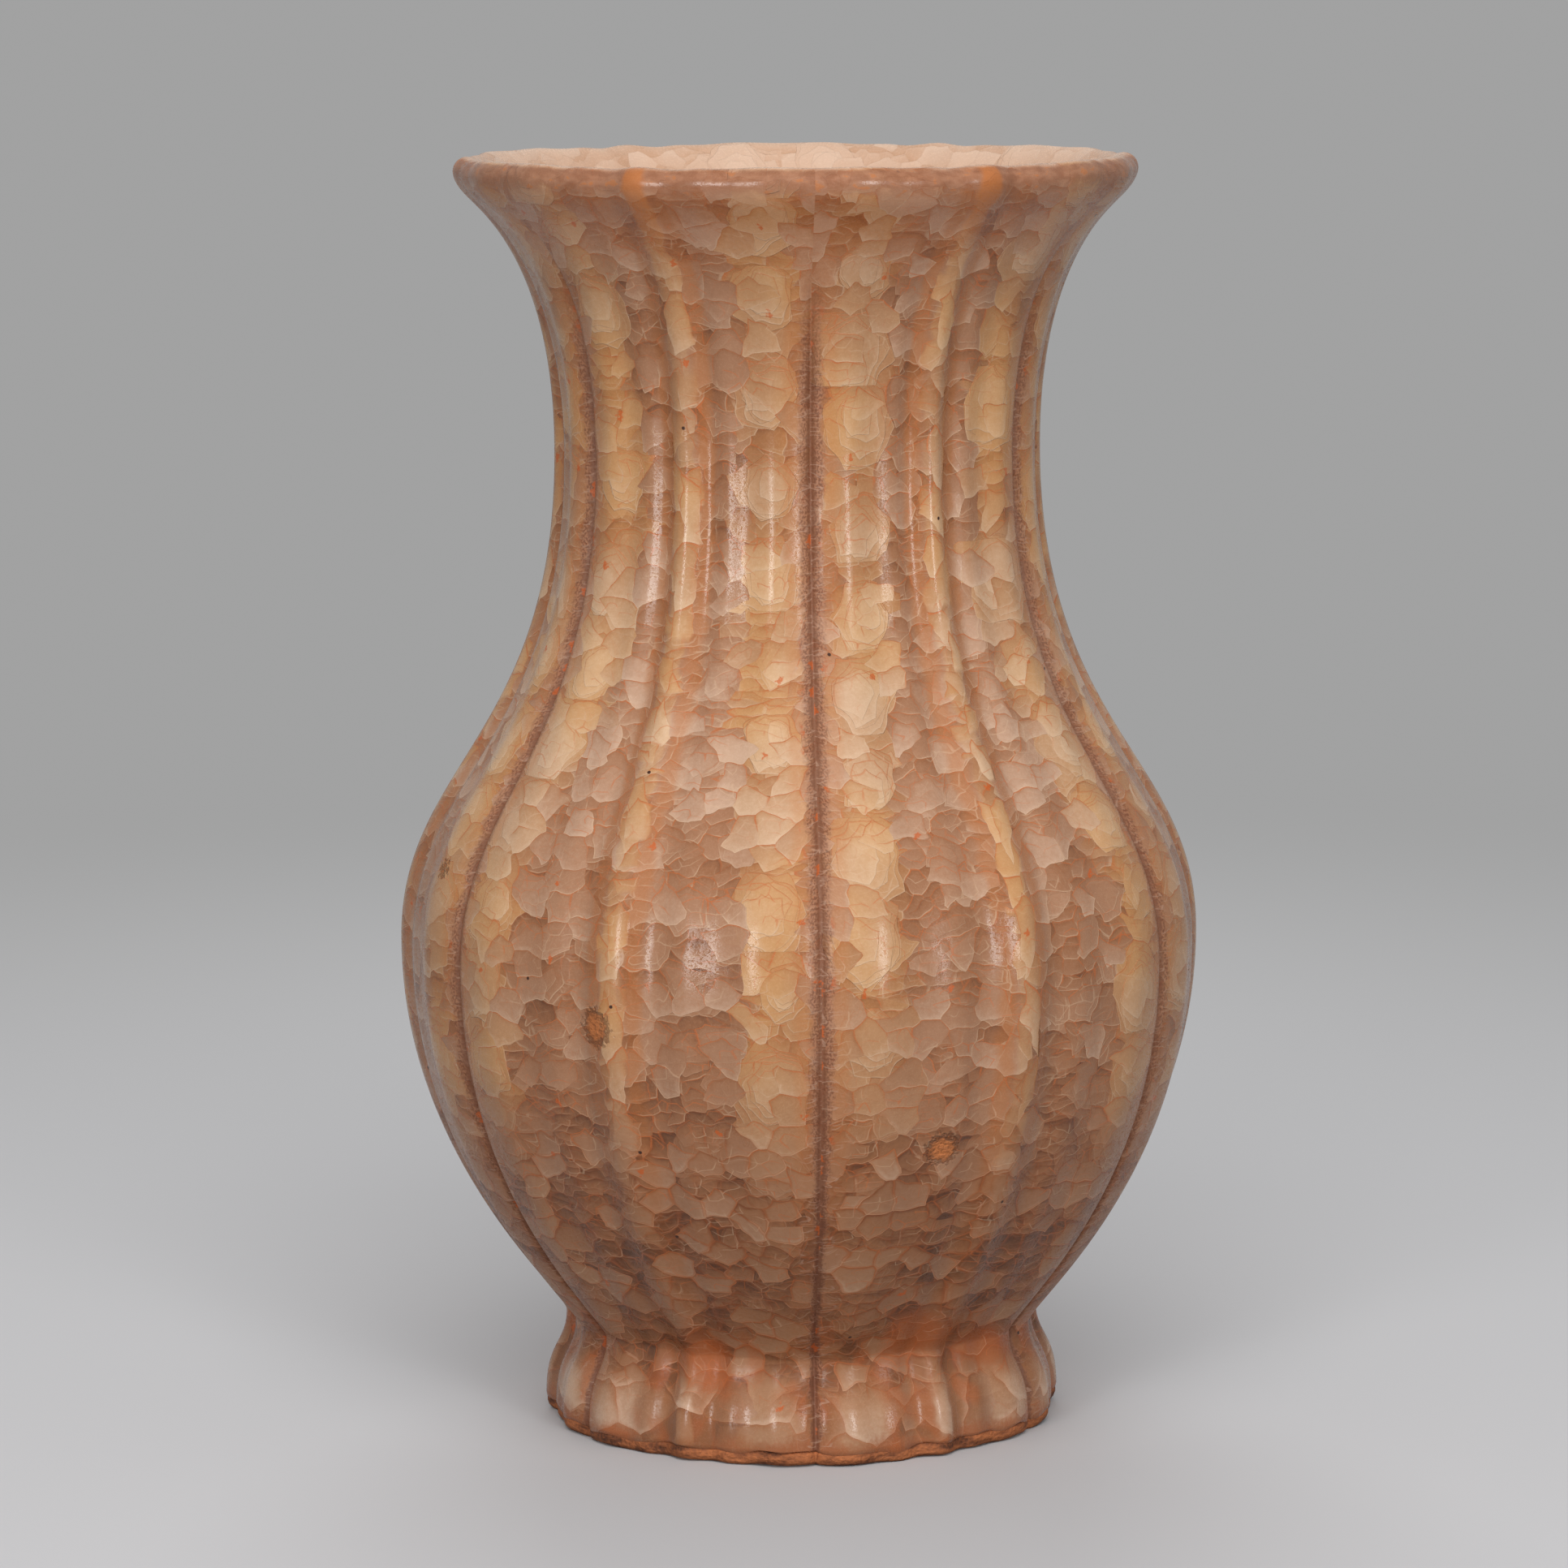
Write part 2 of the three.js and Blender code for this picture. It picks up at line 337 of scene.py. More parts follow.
def make_interior_glaze(material):
    """The lining: a floor that bends up into the wall, and the wall up to the lip."""
    surface = Surface()
    floor = LINING_FLOOR + GLAZE
    wall = [p for p in lining_wall(WALL) if p[1] > floor + 8]
    corner_radius = wall[0][0] - 3
    flat_radius = corner_radius - 9
    up = along_angle(wall[0], 20, -6)
    bend = curve((flat_radius, floor), (corner_radius - 2, floor), up, wall[0])
    flat = [(flat_radius - FLOOR_SPACING * i, floor) for i in reversed(range(FLOOR_ROWS))]
    run = [(0, floor), (4, floor)] + flat + bend + wall[1:]
    distances = lengths(run)
    for place, along in zip(run, distances):
        share = INSIDE_SHARE * smoothstep(floor + 2, floor + 30, place[1])
        surface.add(place, along - distances[-1], eased(FLUTE_DEPTH, place[1]) * share)
    for place in lining_wall(WALL - GLAZE)[::-1][1::HIDDEN_ROW_STEP]:
        surface.add(place, 0, eased(FLUTE_DEPTH, place[1]) * INSIDE_SHARE)
    surface.add((corner_radius, LINING_FLOOR))
    surface.add((0, LINING_FLOOR))
    surface.spin(INSIDE_COLUMNS)
    press_flutes(surface)
    return finish_surface(surface, "interior_glaze", material)


def make_foot_ring(material):
    """The bare clay foot: an uneven rim that shows below the glaze, and the plain well inside it."""
    surface = Surface()
    rim_width = 6
    clay = FOOT[0] - GLAZE
    bare = FOOT[0] - 0.25
    run = [
        ((WELL_MOUTH + 0.9, 0.9), 0, 0),
        ((WELL_MOUTH + 2, 0), 0, 0),
        ((WELL_MOUTH + rim_width - 0.6, 0), FOOT_EDGE_SHARE, 0),
        ((bare - 1.1, 0.35), FOOT_EDGE_SHARE, 0.5),
        ((bare - 0.4, 1.0), 0.85, 0.7),
        ((bare, 1.9), 1, 0.5),
        ((bare, 2.7), 1, 0.3),
        ((bare - 0.2, 3.4), 1, 0),
        ((clay, 4.2), 1, 0),
        ((clay - 3, 12), 1, 0),
        ((WELL_MOUTH, SLAB_UNDERSIDE), 0.5, 0),
        ((WELL_MOUTH - 1, SLAB_UNDERSIDE), 0, 0),
    ]
    distances = lengths([place for place, _, _ in run])
    for (place, share, wander), along in zip(run, distances):
        surface.add(place, along, FLUTE_DEPTH[0][1] * share, GROOVE_DEPTH * share, 0, wander)
    surface.spin(COLUMNS)
    press_flutes(surface)
    return finish_surface(surface, "foot_ring", material)


def make_foot_well_glaze(material):
    """The coat of the well under the base, from just inside the foot rim to the middle."""
    surface = Surface()
    run = [(WELL_MOUTH, GLAZE_START + 0.4), (WELL_MOUTH - 0.6, GLAZE_START)]
    inner = (WELL_MOUTH - 5, SLAB_UNDERSIDE - GLAZE)
    flat_radius = inner[0] - 5
    up = (WELL_MOUTH - 2.2, GLAZE_START + 6)
    run += curve(run[-1], up, (inner[0] + 1.4, inner[1]), (flat_radius, inner[1]))
    run += [(flat_radius - FLOOR_SPACING * i, inner[1]) for i in range(1, FLOOR_ROWS)] + [(0, inner[1])]
    for place, along in zip(run, lengths(run)):
        surface.add(place, along)
    surface.add((0, SLAB_UNDERSIDE), joined=False)
    surface.add((inner[0] - 1, SLAB_UNDERSIDE))
    surface.spin(INSIDE_COLUMNS)
    return finish_surface(surface, "foot_well_glaze", material)


# Materials. Colours are written as they look on screen, from 0 to 255.
def tint(red, green, blue):
    def linear(value):
        share = value / 255
        return share / 12.92 if share <= 0.04045 else ((share + 0.055) / 1.055) ** 2.4

    return (linear(red), linear(green), linear(blue), 1.0)


# The coat from its bare depth to its palest flakes: greyish in the flutes, yellow on the ribs.
GREYS = [tint(102, 62, 40), tint(160, 108, 74), tint(181, 134, 103), tint(212, 175, 148)]
YELLOWS = [tint(134, 80, 46), tint(184, 125, 78), tint(205, 155, 108), tint(227, 190, 152)]
# The cream of the crack lines, used on the sides that face down as painted reflection from the crack planes.
CREAM_EDGE = tint(226, 190, 156)
RUST_SEAM = tint(202, 112, 62)
RUST_FLECK = tint(206, 98, 40)
RUST_STAIN = tint(184, 98, 50)
AMBER = tint(198, 122, 64)
GOLD = tint(226, 168, 104)
GROOVE_PALE = tint(176, 124, 96)
# Dark groove speckle, and the painted shade at the groove's bottom.
GROOVE_DARK = tint(116, 72, 54)
GROOVE_HAIR = tint(204, 164, 140)
SCAR = tint(204, 124, 72)
SCAR_RIM = tint(104, 60, 38)
PINHOLE = tint(70, 42, 30)
LIP_SHADES = [tint(158, 106, 78), tint(169, 116, 87), tint(179, 127, 98)]
LIP_STREAK = tint(204, 122, 62)
LINING_SHADES = [tint(190, 136, 98), tint(222, 178, 146), tint(242, 208, 182)]
CLAY_SHADES = [tint(84, 48, 32), tint(156, 92, 56), tint(196, 118, 72)]
CLAY_BLUSH = tint(168, 100, 64)


def put(socket, value):
    """Fills an input with a link or a constant."""
    if isinstance(value, Field):
        value = value.socket
    if isinstance(value, bpy.types.NodeSocket):
        socket.id_data.links.new(value, socket)
    else:
        socket.default_value = value


class Field:
    """A number that changes over the surface. Sums written with it become Math nodes."""

    def __init__(self, socket):
        self.socket = socket
        self.tree = socket.id_data

    def math(self, operation, *others):
        node = self.tree.nodes.new("ShaderNodeMath")
        node.operation = operation
        for socket, value in zip(node.inputs, (self, *others)):
            put(socket, value)
        return Field(node.outputs[0])

    def __add__(self, other):
        return self.math("ADD", other)

    def __sub__(self, other):
        return self.math("SUBTRACT", other)

    def __mul__(self, other):
        return self.math("MULTIPLY", other)

    def __truediv__(self, other):
        return self.math("DIVIDE", other)

    def over(self, other):
        """The larger of two numbers."""
        return self.math("MAXIMUM", other)

    def off(self, other):
        """How far this number is from another, either way."""
        return (self - other).math("ABSOLUTE")

    def ramp(self, low, high, start=0.0, end=1.0):
        """Eased from start at low to end at high. Low may be the larger of the two."""
        node = self.tree.nodes.new("ShaderNodeMapRange")
        node.interpolation_type = "SMOOTHSTEP"
        for socket, value in zip(node.inputs, (self, low, high, start, end)):
            put(socket, value)
        return Field(node.outputs[0])

    def towards(self, other, share):
        """Part of the way from this number to another."""
        node = self.tree.nodes.new("ShaderNodeMix")
        for socket, value in zip((node.inputs[0], node.inputs[2], node.inputs[3]), (share, self, other)):
            put(socket, value)
        return Field(node.outputs[0])


def vector(x, y, z=0.0):
    tree = next(part.tree for part in (x, y, z) if isinstance(part, Field))
    node = tree.nodes.new("ShaderNodeCombineXYZ")
    for socket, value in zip(node.inputs, (x, y, z)):
        put(socket, value)
    return node.outputs[0]


def parts(socket):
    """The three numbers of a vector or colour.

    Each has a node of its own, because Cycles keeps room for the outputs of a node that aren't used.
    """
    found = []
    for axis in ((1, 0, 0), (0, 1, 0), (0, 0, 1)):
        node = socket.id_data.nodes.new("ShaderNodeVectorMath")
        node.operation = "DOT_PRODUCT"
        put(node.inputs[0], socket)
        node.inputs[1].default_value = axis
        found.append(Field(node.outputs["Value"]))
    return found


def cells(place, feature="F1", randomness=0.85):
    node = place.id_data.nodes.new("ShaderNodeTexVoronoi")
    node.voronoi_dimensions = "2D"
    node.feature = feature
    node.inputs["Scale"].default_value = 1.0
    node.inputs["Randomness"].default_value = randomness
    put(node.inputs["Vector"], place)
    return node


def cloud(place, detail=2.0, dimensions="2D"):
    """Soft noise, from about 0.2 to 0.8, and the same as a colour."""
    node = place.id_data.nodes.new("ShaderNodeTexNoise")
    node.noise_dimensions = dimensions
    node.inputs["Scale"].default_value = 1.0
    node.inputs["Detail"].default_value = detail
    put(node.inputs["Vector"], place)
    return Field(node.outputs[0]), node.outputs[1]


def dice(number):
    """Three even random numbers for each number."""
    node = number.tree.nodes.new("ShaderNodeTexWhiteNoise")
    node.noise_dimensions = "1D"
    put(node.inputs["W"], number)
    return parts(node.outputs["Color"])


def tree_of(value):
    return value.tree if isinstance(value, Field) else value.id_data


def blend(under, over, share):
    """Part of the way from one colour to another."""
    node = tree_of(share).nodes.new("ShaderNodeMix")
    node.data_type = "RGBA"
    for socket, value in zip((node.inputs[0], node.inputs[6], node.inputs[7]), (share, under, over)):
        put(socket, value)
    return node.outputs[2]


def shades(share, colours):
    """A colour from an even row of shades, dark to light."""
    node = share.tree.nodes.new("ShaderNodeValToRGB")
    stops = node.color_ramp.elements
    while len(stops) < len(colours):
        stops.new(0.5)
    for i, (stop, colour) in enumerate(zip(stops, colours)):
        stop.position = i / (len(colours) - 1)
        stop.color = colour
    put(node.inputs[0], share)
    return node.outputs[0]


class Group:
    """A shader node group under construction: its inputs as fields, and its outputs to fill."""

    def __init__(self, name, inputs, outputs):
        self.tree = bpy.data.node_groups.new(name, "ShaderNodeTree")
        for label in inputs:
            self.tree.interface.new_socket(label, in_out="INPUT", socket_type="NodeSocketFloat")
        for label in outputs:
            self.tree.interface.new_socket(label, in_out="OUTPUT", socket_type="NodeSocketFloat")
        self.given = self.tree.nodes.new("NodeGroupInput").outputs
        self.result = self.tree.nodes.new("NodeGroupOutput").inputs

    def __getitem__(self, label):
        return Field(self.given[label])

    def __setitem__(self, label, value):
        put(self.result[label], value)

    def place(self, tree, **values):
        """Puts the group into a tree, with its inputs by name, and gives back its outputs."""
        node = tree.nodes.new("ShaderNodeGroup")
        node.node_tree = self.tree
        for label, value in values.items():
            put(node.inputs[label], value)
        return {output.name: Field(output) for output in node.outputs}


def make_wall_place():
    """Where a point lies on the wall, from the wall map."""
    group = Group("wall_place", [], ["across", "along", "radius", "slope", "sector", "from_groove"])
    uv = group.tree.nodes.new("ShaderNodeUVMap")
    uv.uv_map = "wall"
    across, shifted, _ = parts(uv.outputs[0])
    sector = (shifted / SECTOR_SHIFT + 0.5).math("FLOOR")

    def attribute(name):
        node = group.tree.nodes.new("ShaderNodeAttribute")
        node.attribute_name = name
        return Field(node.outputs["Fac"])

    radius = attribute("wall_radius")
    group["across"] = across
    group["along"] = shifted - sector * SECTOR_SHIFT
    group["radius"] = radius
    group["slope"] = attribute("wall_slope")
    group["sector"] = sector
    group["from_groove"] = radius * HALF_SECTOR_RADIANS - across.math("ABSOLUTE")
    return group


# Crackle lines, and the painted light and shadow beside them: how far inside a border each starts and is
# full, in millimetres.
FLAKE_LINE = (0.3, 0.1)
PLATE_LINE = (0.28, 0.1)
BEAD_LINE = (0.32, 0.12)
GAP_LINE = (0.7, 0.1)
FLAKE_PAINTED_LIGHT = (1.5, 0.0)
BEAD_PAINTED_LIGHT = (2.2, 0.0)
BEAD_BORDER = (-0.04, 0.04)

# How far down a border faces where its line starts to be pale and is palest, or rusty and rustiest. The pale
# lines are the cracks' cream colour, drawn on the sides that face down as painted reflection from the crack
# planes.
PALE_SIDE = (0.0, 0.6)
BEAD_PALE_SIDE = (-0.2, 0.5)
RUSTY_SIDE = (0.1, -0.5)

# How much paler a flake gets by chance and on its upper plate, how much painted light and shadow it gets
# along its border, and how much painted shade darkens it towards its top.
CHANCE_LIFT = 0.16
PLATE_LIFT = 0.06
PAINTED_LIGHT_LIFT = 0.12
TOP_PAINTED_SHADE = 0.14

# How a flake or plate tilts, and how high it stands, in millimetres.
LEAN = 0.6
LEAN_TILT = 0.1
PLATE_TILT = 0.05
BEAD_TILT = 0.1
BEAD_PLATE_TILT = 0.06

# Flakes with this step have no upper plate, because none is that wide.
WHOLE = 9.0

# How many cells each seed's pattern lies from the next one's, and a length too small to matter.
SEED_SHIFT = (17.3, 31.7)
TINY = 0.01


def make_flakes():
    """One layer of crackle: straight-sided flakes, some missing, in plates that step up to the middle."""
    labels = ["across", "along", "radius", "slope", "width", "height", "seed", "kept", "step"]
    group = Group("flakes", labels, ["flake", "rise", "edge", "seam", "gap", "tilt", "from_groove"])
    across, along, width, height = (group[name] for name in ("across", "along", "width", "height"))
    x = across / width + group["seed"] * SEED_SHIFT[0]
    y = along / height + group["seed"] * SEED_SHIFT[1]
    place = vector(x, y)
    near = cells(place)
    chance, tone, pick = parts(near.outputs["Color"])
    middle_x, middle_y, _ = parts(near.outputs["Position"])
    off_x, off_y = (x - middle_x) * width, (y - middle_y) * height
    reach = (off_x * off_x + off_y * off_y).math("SQRT") + TINY
    border = Field(cells(place, "DISTANCE_TO_EDGE").outputs["Distance"]) * width.math("MINIMUM", height)
    # The pale edge, lit with painted reflection, looks down, more or less to one side; the edge that looks
    # up gets painted shadow.
    facing = (off_x * (pick * 1.4 - 0.6) - off_y) / reach
    lean = (off_x * (tone - 0.5) + off_y * (pick - 0.7)) * LEAN
    depth = (border + lean) / group["step"]
    level = depth.math("FLOOR").over(0.0).math("MINIMUM", 1.0)
    plate_line = ((depth - level) * group["step"]).ramp(*PLATE_LINE) * level
    flake = chance.math("LESS_THAN", group["kept"])
    line = border.ramp(*FLAKE_LINE)
    # Painted reflection of the crack planes inside the border that faces down, and painted shadow inside the
    # one that faces up.
    painted_crack_light = facing * border.ramp(*FLAKE_PAINTED_LIGHT)
    group["flake"] = flake
    group["rise"] = tone * CHANCE_LIFT + level * PLATE_LIFT + painted_crack_light * PAINTED_LIGHT_LIFT - off_y / height * TOP_PAINTED_SHADE
    edge = flake * line.over(plate_line * 0.7) * facing.ramp(*PALE_SIDE)
    group["edge"] = edge * pick.ramp(0, 0.7, 0.3, 1)
    seam = flake * line.over(plate_line * 0.6) * facing.ramp(*RUSTY_SIDE)
    group["seam"] = seam * tone.ramp(0, 0.7, 0.4, 1)
    group["gap"] = border.ramp(*GAP_LINE)
    group["tilt"] = lean * LEAN_TILT + level * PLATE_TILT
    middle_radius = group["radius"] - off_y * group["slope"]
    group["from_groove"] = middle_radius * HALF_SECTOR_RADIANS - (across - off_x).math("ABSOLUTE")
    return group


def make_bead_plate():
    """One many-sided plate of a bead, round a point. Border is in millimetres, and positive inside."""
    group = Group("bead_plate", ["x", "y", "size", "sides", "turn"], ["plate", "edge", "seam", "painted_crack_light"])
    x, y, size = group["x"], group["y"], group["size"]
    step = group["sides"].math("POWER", -1.0) * math.tau
    angle = (y.math("ARCTAN2", x) + group["turn"] + math.tau).math("FLOORED_MODULO", step) - step * 0.5
    reach = (x * x + y * y).math("SQRT")
    border = size - reach * angle.math("COSINE")
    facing = (x * (group["turn"] * 0.2 - 0.6) - y) / (reach + TINY)
    inside = border.ramp(*BEAD_BORDER)
    line = inside * border.ramp(*BEAD_LINE)
    group["plate"] = inside
    group["edge"] = line * facing.ramp(*BEAD_PALE_SIDE)
    group["seam"] = line * facing.ramp(*RUSTY_SIDE)
    # Painted reflection inside the plate's border that faces down, and painted shadow inside the one that
    # faces up.
    group["painted_crack_light"] = facing * border.ramp(*BEAD_PAINTED_LIGHT)
    return group


# The plates of a bead from the widest up: share of its size, and how pale.
BEAD_PLATES = [(1.0, 0.5), (0.9, 0.57), (0.79, 0.63), (0.68, 0.68), (0.52, 0.73)]
BEAD_SPACING = 20.0
BEAD_SIZE = 9.4
BEADS_KEPT = 0.86
BEAD_FLATNESS = 0.86
FEWEST_SIDES = 5
SIDES_SPREAD = 3.99

# How far beads stray from their even places, and their outlines from straight, in millimetres.
BEAD_STRAY_ALONG = 6
BEAD_STRAY_ACROSS = 4
BEAD_BEND = 3.5
BEAD_BEND_SIZE = 6


def make_beads(plate):
    """A column of beads along a rib, each of nested plates that grow paler towards the core."""
    labels = ["x", "along", "spacing", "size", "seed"]
    group = Group("beads", labels, ["bead", "light", "edge", "seam", "gap", "tilt"])
    x, along, spacing = group["x"], group["along"], group["spacing"]
    bend_place = vector(x / BEAD_BEND_SIZE, along / BEAD_BEND_SIZE, group["seed"])
    bend = parts(cloud(bend_place, 0.0, "3D")[1])
    place = along / spacing + group["seed"] * 7.37
    index = place.math("FLOOR")
    shift, scale, chance = dice(index + group["seed"] * 0.37)
    y = (place - index - 0.5) * spacing - (shift - 0.5) * BEAD_STRAY_ALONG + (bend[1] - 0.5) * BEAD_BEND
    x = x + (bend[0] - 0.5) * BEAD_BEND - (scale - 0.5) * BEAD_STRAY_ACROSS
    size = group["size"] * (scale * 0.5 + 0.55)
    bead = light = edge = seam = None
    for number, (share, level) in enumerate(BEAD_PLATES):
        spare_x, spare_y, turn = dice(index * 3.1 + group["seed"] + number * 11.3)
        stray = (1 - share) * 7 + 1.2
        made = plate.place(
            group.tree,
            x=x + (spare_x - 0.5) * stray,
            y=(y + (spare_y - 0.5) * stray) * BEAD_FLATNESS,
            size=size * (spare_y * 0.14 + (share - 0.08)),
            sides=(spare_x * SIDES_SPREAD).math("FLOOR") + FEWEST_SIDES,
            turn=turn * math.tau,
        )
        # Each plate's painted light and shadow along its border, over its paleness.
        tone = made["painted_crack_light"] * PAINTED_LIGHT_LIFT + level
        if bead is None:
            bead, light, edge, seam = made["plate"], tone, made["edge"], made["seam"]
            tilt = made["plate"] * BEAD_TILT
        else:
            upper = made["plate"] * bead
            light = light.towards(tone, upper)
            edge = (edge * (upper * -0.8 + 1)).over(made["edge"] * bead)
            seam = (seam * (upper * -0.8 + 1)).over(made["seam"] * bead)
            tilt = tilt + upper * BEAD_PLATE_TILT
    present = chance.math("LESS_THAN", BEADS_KEPT)
    group["bead"] = bead * present
    group["light"] = light
    group["edge"] = edge * present
    group["seam"] = seam * present * 0.6
    group["gap"] = 0.0
    group["tilt"] = tilt
    return group


def make_groups():
    return {"wall": make_wall_place(), "flakes": make_flakes(), "beads": make_beads(make_bead_plate())}


def new_material(name, roughness):
    material = bpy.data.materials.new(name)
    material.use_nodes = True
    shader = material.node_tree.nodes["Principled BSDF"]
    shader.inputs["Roughness"].default_value = roughness
    return material, material.node_tree, shader


def add_bump(tree, shader, height):
    """Relief from a height in millimetres."""
    node = tree.nodes.new("ShaderNodeBump")
    node.inputs["Distance"].default_value = MM
    put(node.inputs["Height"], height)
    put(shader.inputs["Normal"], node.outputs[0])


def object_place(tree):
    """Object coordinates in millimetres."""
    source = tree.nodes.new("ShaderNodeTexCoord").outputs["Object"]
    return [axis / MM for axis in parts(source)]


def near_place(place, angle, height, radius):
    """How far each point is from one on the wall, in millimetres."""
    turn = math.radians(angle)
    centre = (radius * math.sin(turn), -radius * math.cos(turn), height)
    squares = [(axis - middle) * (axis - middle) for axis, middle in zip(place, centre)]
    return (squares[0] + squares[1] + squares[2]).math("SQRT")


class Coat:
    """Crackle in the making: how pale it is, its share of a rib, its lines and gaps, and its relief."""

    def __init__(self, light, ribness):
        self.light, self.ribness = light, ribness
        self.edge = self.seam = self.gap = self.relief = light * 0

    def lay(self, made, light, share, ribness=None):
        """Lays a layer of flakes over what is there."""
        self.light = self.light.towards(light, share)
        under = share * -0.85 + 1
        self.edge = (self.edge * under).over(made["edge"] * share)
        self.seam = (self.seam * under).over(made["seam"] * share)
        self.relief = self.relief.towards(made["tilt"], share)
        self.gap = self.gap.towards(made["gap"], share)
        if ribness is not None:
            self.ribness = self.ribness.towards(ribness, share)


# Flake layers from the bottom up: width, height, step of the plates, share kept, cover, how pale.
LAYERS = [
    (6.6, 5.0, WHOLE, 1.1, 0.9, 0.27),
    (5.4, 4.4, WHOLE, 0.5, 0.88, 0.34),
    (8.4, 2.4, WHOLE, 0.7, 0.8, 0.34),
    (8.6, 7.6, 1.3, 0.44, 0.94, 0.43),
    (7.2, 6.4, WHOLE, 0.36, 0.94, 0.57),
]
STACKED = 2
WIDEST = 3
MORE_KEPT_LOW = 0.16

# Flakes of the narrow ribs: width, height, share kept, how pale.
RIDGE_FLAKES = [(4.8, 8.0, 0.8, 0.5), (4.8, 12.0, 0.5, 0.6)]

# Other flakes: width, height, share kept.
FOOT_FLAKES = (15.0, 13.0, 0.85)
THIN_FLAKES = (4.4, 3.4, 0.6)
GROOVE_FLAKES = (3.6, 1.1, 0.5)

# Where the wall's features lie along it, and how far they are from a groove, in millimetres.
RIB_MIDDLE = 11
RIB_EDGE = (9, 4)
GROOVE_SIDE = (7.5, 4.5)
VALLEY_FROM_RIDGE = 5
WAIST_ALONG = 20
SHOULDER_ALONG = 190
LOW_BODY = (122, 52)
FOOT_ALONG = (24, 8)
LIP_START = lengths(outline())[-1]
CROWN = LIP_START + 12.5

# Each sector's patterns start this much further along, and cracks wander this far, in millimetres.
SECTOR_RUN = 331
BEND = 2.6

# Places on the wall: degrees round from the front groove, height, radius of the wall there, size.
# The coat crawled back from the scars, and iron bled into it at the stains.
SCARS = [(-32.4, 107.7, 92.6, 5.2), (18.3, 79.5, 87.8, 4.6), (-67.6, 136.4, 89.5, 3), (142, 96, 92, 3.2)]
STAINS = [(24.6, 31, 58, 12), (48, 24, 55, 10), (-26, 25, 55, 9), (-96, 28, 57, 12), (161, 30, 58, 11)]


def rib_share(from_groove):
    """1 on the broad rib beside a groove, and 0 off it."""
    return from_groove.off(RIB_MIDDLE).ramp(*RIB_EDGE)


class Ground:
    """The wall under the outer coat: where a point lies on it, and the soft patterns that its paint shares.

    The steps of the coat also keep here what later ones need, such as the valleys and the groove bands.
    """

    def __init__(self, tree, groups):
        wall = groups["wall"].place(tree)
        self.tree, self.flakes = tree, groups["flakes"]
        self.across, self.along, self.from_groove = wall["across"], wall["along"], wall["from_groove"]
        self.radius, self.sector = wall["radius"], wall["sector"]
        self.run = self.along + self.sector * SECTOR_RUN
        self.bend = parts(cloud(self.at(6, 6), 1.0)[1])
        self.seat = {
            "across": self.across + (self.bend[0] - 0.5) * BEND,
            "along": self.run + (self.bend[1] - 0.5) * BEND,
            "radius": self.radius,
            "slope": wall["slope"],
        }
        self.side = self.across.math("SIGN")
        self.mottle = self.soft(16, 16)
        self.patch = self.soft(26, 34, detail=0.0, shift=40)
        self.fine = self.soft(1.1, 1.1, detail=2.0)
        self.low = self.along.ramp(*LOW_BODY)
        self.foot = self.along.ramp(*FOOT_ALONG)

    def at(self, width, length, shift=0):
        """The place on the wall for a pattern of this width and length, in millimetres."""
        across = self.across / width
        return vector(across + shift if shift else across, self.run / length)

    def soft(self, width, length, detail=1.0, shift=0):
        return cloud(self.at(width, length, shift), detail)[0]

    def rough(self, amount, pattern=None):
        """A small wander either way, in millimetres, from a soft pattern or the fine one."""
        return ((pattern or self.fine) - 0.5) * amount

    def lay(self, width, height, kept, seed, step=WHOLE):
        """Flakes of one size over the whole wall."""
        return self.flakes.place(
            self.tree, **self.seat, width=width, height=height, step=step, seed=seed, kept=kept
        )


def lay_coat(ground, groups):
    """Flakes all over, and beads on the broad ribs."""
    low, sector, side = ground.low, ground.sector, ground.side
    coat = Coat(ground.mottle.ramp(0.3, 0.7, 0.26, 0.42), rib_share(ground.from_groove))
    stack_share = ground.patch.ramp(0.5, 0.6).over(ground.from_groove.ramp(6.5, 3.5))
    bead = groups["beads"].place(
        ground.tree,
        x=(ground.from_groove - RIB_MIDDLE) * side,
        along=ground.along,
        spacing=BEAD_SPACING,
        size=BEAD_SIZE,
        seed=sector * 2.0 + side * 0.6 + 3.0,
    )
    for number, (width, height, step, kept, cover, lift) in enumerate(LAYERS):
        made = ground.lay(width, height, low * MORE_KEPT_LOW + kept, number + 1.0, step)
        share = made["flake"] * cover
        if number == STACKED:
            share = share * stack_share * low.ramp(0, 1, 1.0, 0.35)
        if number == WIDEST:
            share = share * low.ramp(0, 1, 1.0, 0.2)
        if number == len(LAYERS) - 1:
            coat.lay(bead, bead["light"], bead["bead"] * low.ramp(0, 1, 0.95, 0.25), 1.0)
        coat.lay(made, made["rise"] + lift, share, rib_share(made["from_groove"]))
    return coat


def lay_ridges(ground, coat):
    """Long flakes on the narrow ribs."""
    low = ground.low
    ground.off_ridge = off_ridge = ground.across.math("ABSOLUTE") + ground.rough(3, ground.bend[2])
    ground.ridge = off_ridge.ramp(3.0, 1.8)
    fading = low.ramp(0, 1, 0.95, 0.25) * ground.along.ramp(LIP_START - 2, LIP_START - 30)
    for number, (width, height, kept, lift) in enumerate(RIDGE_FLAKES):
        made = ground.lay(width, height, kept, number + 9.0)
        middle = (ground.radius * HALF_SECTOR_RADIANS - made["from_groove"]).ramp(2.3, 1.9)
        coat.lay(made, made["rise"] + lift, made["flake"] * middle * off_ridge.ramp(4.2, 3.4) * fading, 1.0)


